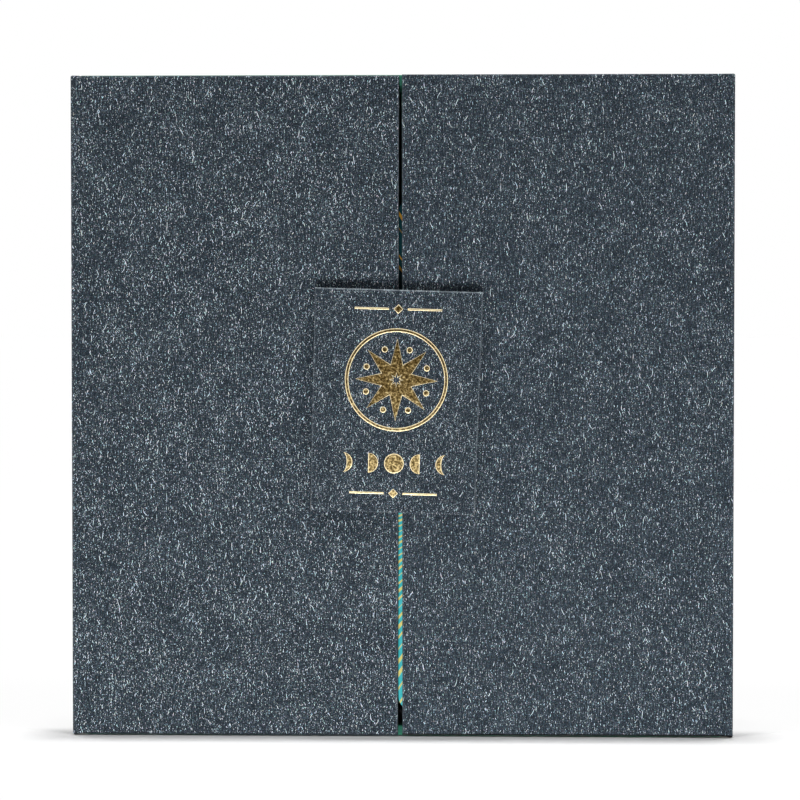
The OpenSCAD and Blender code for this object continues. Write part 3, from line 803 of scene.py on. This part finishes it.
def medalPatches():
    middle = np.array([0, foilStamp["medalRise"]])
    innerRing, outerRing = [circle(radius, foilStamp["ringSteps"]) + middle for radius in foilStamp["ring"]]
    corners = np.arange(2 * foilStamp["points"] + 1)
    turn = np.linspace(0, 2 * math.pi, len(corners))
    tips = np.where(corners % 2 == 0, *foilStamp["star"])[:, None] * onCircle(turn)
    fine = np.linspace(0, corners[-1], foilStamp["starSteps"] * corners[-1] + 1)
    star = np.stack([np.interp(fine, corners, tips[:, 0]), np.interp(fine, corners, tips[:, 1])], -1)
    dot = circle(foilStamp["dot"], foilStamp["dotSteps"])
    dots = [foilPatch(0 * dot + spot, dot + spot, False)
            for spot in middle + foilStamp["dotSet"] * onCircle(turn[1::2])]
    starPatch = foilPatch(foilStamp["starHole"] * star + middle, star + middle)
    return [foilPatch(innerRing, outerRing), starPatch] + dots


def moonPatches():
    middle = np.array([0, -foilStamp["moonDrop"]])
    disc = circle(foilStamp["moon"], foilStamp["moonSteps"])
    patches = [foilPatch(0 * disc + middle, disc + middle, False)]
    half = foilStamp["moon"] * onCircle(np.linspace(0, math.pi, foilStamp["moonSteps"] // 2 + 1))
    for sign in signs.values():
        for place, hollow in ((1, 0), (2, foilStamp["hollow"])):  # half moons, and crescents beyond them
            spot = middle + (sign * place * foilStamp["moonPitch"], 0)
            patches.append(foilPatch(half * (-sign * hollow, 1) + spot, half * (-sign, 1) + spot))
    return patches


def rulePatches():
    diamond = circle(foilStamp["diamond"], 4)
    length, width = foilStamp["rule"]
    line = 2 * foilStamp["diamond"] + np.linspace(0, length, foilStamp["ruleSteps"])
    patches = []
    for level in (-foilStamp["ruleSet"], foilStamp["ruleSet"]):
        patches.append(foilPatch(0 * diamond + (0, level), diamond + (0, level), False))
        for sign in signs.values():
            middle = np.stack([sign * line, 0 * line + level], -1)
            patches.append(foilPatch(middle - (0, width / 2), middle + (0, width / 2)))
    return patches


# the rim mark in each patch's fourth column gives the foil its painted highlight
for number, patch in enumerate(medalPatches() + moonPatches() + rulePatches()):
    points = tabPlace(patch[..., 0], -foilStamp["lift"] - patch[..., 2], patch[..., 1])
    makePiece("foil%02d" % number, points, patch[..., :2], finishes["gold_foil"], "left_door",
              ("tab_foil",) if number == 0 else (), patch[..., 3], closed=True)
print("tab papered and stamped")

# foam: pads and riser with softened edges
foamBlock = {"round": 0.8, "roundShare": 0.4, "square": 1.8, "rings": 25, "turns": 49, "least": 1e-9}


# directions of a ball, each taken to a core box that is smaller by the edge radius, and from there out by
# that radius towards the outer box
def makeFoamPiece(name, node):
    low, high = boxOf(node)
    middle, half = (low + high) / 2, (high - low) / 2
    radius = min(foamBlock["round"], foamBlock["roundShare"] * half.min())
    lift, swing = np.meshgrid(np.linspace(-math.pi / 2, math.pi / 2, foamBlock["rings"]),
                              np.linspace(-math.pi, math.pi, foamBlock["turns"]), indexing="ij")
    ball = np.stack([np.cos(lift) * np.cos(swing), np.cos(lift) * np.sin(swing), np.sin(lift)], -1)
    core = np.clip(ball * foamBlock["square"], -1, 1) * (half - radius)
    outer = ball / np.maximum(np.abs(ball).max(-1, keepdims=True), foamBlock["least"]) * half
    gap = outer - core
    away = gap / np.maximum(np.linalg.norm(gap, axis=-1, keepdims=True), foamBlock["least"])
    piece = makePiece(name, middle + core + radius * away, np.stack([lift, swing], -1), finishes["foam"],
                      "box", (node,), closed=True)


for name, node in (("deckFoam", "deck_pad"), ("bookFoam", "book_pad"), ("riserFoam", "book_riser")):
    makeFoamPiece(name, node)
print("foam cut")

# floor: pale paint that the camera sees as white, and behind the front of the box nearly without shadow
floorTone = {"paint": (0.22, 0.22, 0.22), "seen": (0.73, 0.73, 0.73), "size": 6.0,
             "glow": (-0.013, -0.003, 0.0, 0.88)}
white = (1, 1, 1, 1)


def seenPlainly(tree):  # 1 for camera, glossy and transmission rays
    path = addNode(tree, "ShaderNodeLightPath").outputs
    mirror = calc(tree, "MAXIMUM", path["Is Glossy Ray"], path["Is Transmission Ray"])
    return calc(tree, "MAXIMUM", path["Is Camera Ray"], mirror)


def makeFloor():
    reach = floorTone["size"]
    corners = [(-reach, -reach, 0), (reach, -reach, 0), (reach, reach, 0), (-reach, reach, 0)]
    mesh = bpy.data.meshes.new("floor")
    mesh.from_pydata(corners, [], [(0, 1, 2, 3)])
    floor = bpy.data.objects.new("floor", mesh)
    floor.visible_shadow = False  # the key stands below floor level
    scene.collection.objects.link(floor)
    paint = bpy.data.materials.new("floorPaint")
    paint.use_nodes = True
    tree = paint.node_tree
    tree.nodes.clear()
    seen = seenPlainly(tree)
    tone = mixColour(tree, seen, opaque(floorTone["paint"]), opaque(floorTone["seen"]))
    matt = addNode(tree, "ShaderNodeBsdfDiffuse", {"Color": tone})
    glow = addNode(tree, "ShaderNodeEmission", {"Color": white, "Strength": 1.0})
    behind = remap(tree, splitXyz(tree, coordinate(tree, "Object"))[1], *floorTone["glow"])
    share = calc(tree, "MULTIPLY", seen, behind)
    both = addNode(tree, "ShaderNodeMixShader", {0: share, 1: matt.outputs[0], 2: glow.outputs[0]})
    addNode(tree, "ShaderNodeOutputMaterial", {0: both.outputs[0]})
    mesh.materials.append(paint)


makeFloor()

# room: white to the camera, and to the object a broad soft light that stands low in front
roomTone = {"all": 0.06, "front": 0.07, "ahead": (0.1, -0.5), "low": (0.65, 0.4)}


def makeRoom():
    world = bpy.data.worlds.new("studio")
    scene.world = world
    world.use_nodes = True
    tree = world.node_tree
    tree.nodes.clear()
    ray = splitXyz(tree, coordinate(tree, "Generated"))
    ahead, low = remap(tree, ray[1], *roomTone["ahead"]), remap(tree, ray[2], *roomTone["low"])
    level = calc(tree, "MULTIPLY_ADD", calc(tree, "MULTIPLY", ahead, low), roomTone["front"], roomTone["all"])
    level = calc(tree, "MAXIMUM", level, seenPlainly(tree))
    sky = addNode(tree, "ShaderNodeBackground", {"Color": white, "Strength": level})
    addNode(tree, "ShaderNodeOutputWorld", {0: sky.outputs[0]})


makeRoom()

# lamps: three soft ones from low in front, two soft suns from high in front, a weak one for the back, and a
# row of three suns overhead. Places and sizes of area lamps are in metres, and a sun's size is in degrees.
lampAim = {"AREA": (0, 0, 0.08), "SUN": (0, 0, 0)}
lamps = {
    "lowKey": {"kind": "AREA", "place": (-0.006, -0.48, -0.34), "size": (0.05, 0.28), "power": 2.85},
    "lowLeft": {"kind": "AREA", "place": (-0.42, -0.45, -0.22), "size": (0.2, 0.2), "power": 1.19},
    "lowRight": {"kind": "AREA", "place": (0.42, -0.45, -0.22), "size": (0.2, 0.2), "power": 1.19},
    "highLeft": {"kind": "SUN", "place": (-1, -1, 2.45), "size": 12, "power": 0.72},
    "highRight": {"kind": "SUN", "place": (1, -1, 2.45), "size": 12, "power": 0.72},
    "backFill": {"kind": "AREA", "place": (0.3, 0.8, 0.12), "size": (0.6, 0.6), "power": 1.8},
    "overheadLeft": {"kind": "SUN", "place": (-0.108, 0.095, 2), "size": 4.2, "power": 1.05},
    "overheadMiddle": {"kind": "SUN", "place": (-0.006, 0.095, 2), "size": 4.2, "power": 0.6},
    "overheadRight": {"kind": "SUN", "place": (0.1, 0.095, 2), "size": 4.2, "power": 1.25},
}
for name, lamp in lamps.items():
    light = bpy.data.lights.new(name, lamp["kind"])
    light.energy = lamp["power"]
    if lamp["kind"] == "AREA":
        light.shape = "ELLIPSE"
        light.size, light.size_y = lamp["size"]
    else:
        light.angle = math.radians(lamp["size"])
    holder = bpy.data.objects.new(name, light)
    aim = np.array(lampAim[lamp["kind"]]) - np.array(lamp["place"])
    holder.location = lamp["place"]
    holder.rotation_euler = (math.acos(-aim[2] / np.linalg.norm(aim)), 0, math.atan2(-aim[0], aim[1]))
    scene.collection.objects.link(holder)
print("floor, room and lamps set")
